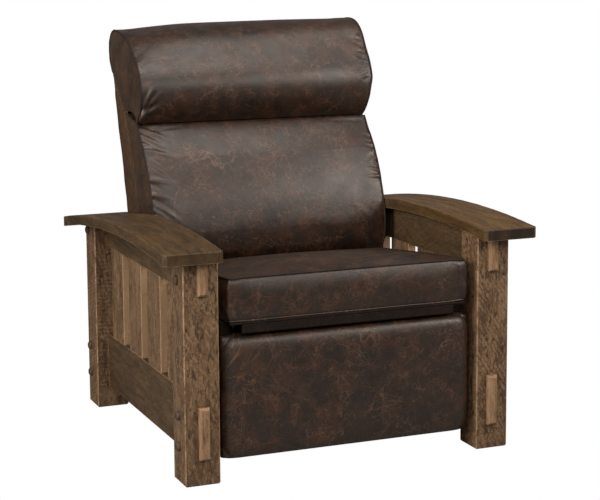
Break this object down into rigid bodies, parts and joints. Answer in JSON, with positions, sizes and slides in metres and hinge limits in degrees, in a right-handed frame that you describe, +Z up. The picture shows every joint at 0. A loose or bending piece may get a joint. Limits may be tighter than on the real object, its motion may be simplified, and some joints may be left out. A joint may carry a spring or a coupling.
{
  "type": "reclining armchair",
  "caption": "Mission style reclining armchair: slatted wooden sides with curved arms, leather seat, reclining back with headrest roll and fold-out footrest.",
  "frame": {"origin": "on the floor, under the middle of the chair's width and depth at rest (back upright, footrest closed)", "axes": "+Z up, -Y towards the front (the way the sitter faces), +X towards the right arm as seen from the front"},
  "size_m": [0.98, 0.9817, 1.0549],
  "materials": {
    "post_wood": "rustic brown stain, saw marks, satin",
    "arm_wood": "smoother brown stain, satin",
    "rail_wood": "dark brown stain, light tenon ends",
    "slat_wood": "brown stain, light worn edges",
    "peg_wood": "dark stained domed pegs",
    "frame_wood": "plain unfinished hardwood, hidden frame",
    "leather": "dark brown distressed leather with tan cracks, soft sheen",
    "deck_cloth": "black woven deck cloth",
    "black_steel": "black semi-gloss",
    "zinc_steel": "zinc plated",
    "spring_steel": "drawn wire",
    "nylon": "natural nylon"
  },
  "bodies": {
    "frame": {"arm_left": "arm_wood", "arm_right": "arm_wood", "base_cleat_left": "frame_wood", "base_cleat_right": "frame_wood", "base_crossbar_front": "black_steel", "base_crossbar_rear": "black_steel", "front_post_left": "post_wood", "front_post_right": "post_wood", "glide_track_left": "black_steel", "glide_track_right": "black_steel", "lower_rail_left": "rail_wood", "lower_rail_right": "rail_wood", "peg_pins_left": "peg_wood", "peg_pins_right": "peg_wood", "rear_post_left": "post_wood", "rear_post_right": "post_wood", "rear_stretcher": "rail_wood", "side_slat_left_1": "slat_wood", "side_slat_left_2": "slat_wood", "side_slat_left_3": "slat_wood", "side_slat_left_4": "slat_wood", "side_slat_right_1": "slat_wood", "side_slat_right_2": "slat_wood", "side_slat_right_3": "slat_wood", "side_slat_right_4": "slat_wood", "upper_rail_left": "rail_wood", "upper_rail_right": "rail_wood"},
    "seat": {"glide_shoes": "nylon", "seat_rail_left": "frame_wood", "seat_rail_right": "frame_wood", "seat_cross_rail_front": "frame_wood", "seat_cross_rail_rear": "frame_wood", "seat_plate_left": "black_steel", "seat_plate_right": "black_steel", "seat_pivot_pins": "zinc_steel", "seat_front_board": "frame_wood", "seat_apron": "leather", "seat_springs": "spring_steel", "seat_deck": "deck_cloth", "seat_cushion": "leather"},
    "rear_link_pair": {"rear_links": "black_steel", "linkage_tube": "black_steel", "knee_rivets": "zinc_steel"},
    "front_link_pair": {"front_links": "black_steel"},
    "idler_link_pair": {"idler_links": "black_steel", "idler_rivets": "zinc_steel"},
    "control_link_pair": {"control_links": "black_steel"},
    "footrest": {"footrest_brackets": "black_steel", "footrest_rivets": "zinc_steel", "footrest_board": "frame_wood", "footrest_pad": "leather"},
    "back": {"back_brackets": "black_steel", "back_stile_left": "frame_wood", "back_stile_right": "frame_wood", "back_cross_rails": "frame_wood", "back_springs": "spring_steel", "back_shell": "leather", "back_cushion": "leather", "headrest": "leather"}
  },
  "joints": [
    {"name": "seat_glide", "type": "slide", "parent": "frame", "child": "seat", "axis": [0, -1, 0], "range_m": [0, 0.06]},
    {"name": "back_recline", "type": "hinge", "parent": "seat", "child": "back", "pos_m": [0, 0.166, 0.33], "axis": [-1, 0, 0], "range_deg": [0, 30]},
    {"name": "footrest", "type": "hinge", "parent": "seat", "child": "rear_link_pair", "pos_m": [0, -0.28, 0.3], "axis": [-1, 0, 0], "range_deg": [0, 105.7]},
    {"name": "front_link_fold", "type": "hinge", "parent": "rear_link_pair", "child": "front_link_pair", "pos_m": [0, -0.21901, 0.08301], "axis": [1, 0, 0], "range_deg": [0, 126.68]},
    {"name": "footrest_turn", "type": "hinge", "parent": "front_link_pair", "child": "footrest", "pos_m": [0, -0.38, 0.233], "axis": [-1, 0, 0], "range_deg": [0, 110.98]},
    {"name": "idler_swing", "type": "hinge", "parent": "seat", "child": "idler_link_pair", "pos_m": [0, -0.38205, 0.36957], "axis": [-1, 0, 0], "range_deg": [0, 104.15]},
    {"name": "control_link_fold", "type": "hinge", "parent": "idler_link_pair", "child": "control_link_pair", "pos_m": [0, -0.27695, 0.10023], "axis": [1, 0, 0], "range_deg": [0, 111.6]}
  ],
  "couplings": [
    {"joint": "seat_glide", "follows": "back_recline", "m_per_rad": 0.11459},
    {"joint": "front_link_fold", "follows": "footrest", "ratio": 1.1984},
    {"joint": "footrest_turn", "follows": "footrest", "ratio": 1.0499},
    {"joint": "idler_swing", "follows": "footrest", "ratio": 0.98528},
    {"joint": "control_link_fold", "follows": "footrest", "ratio": 1.0557}
  ]
}
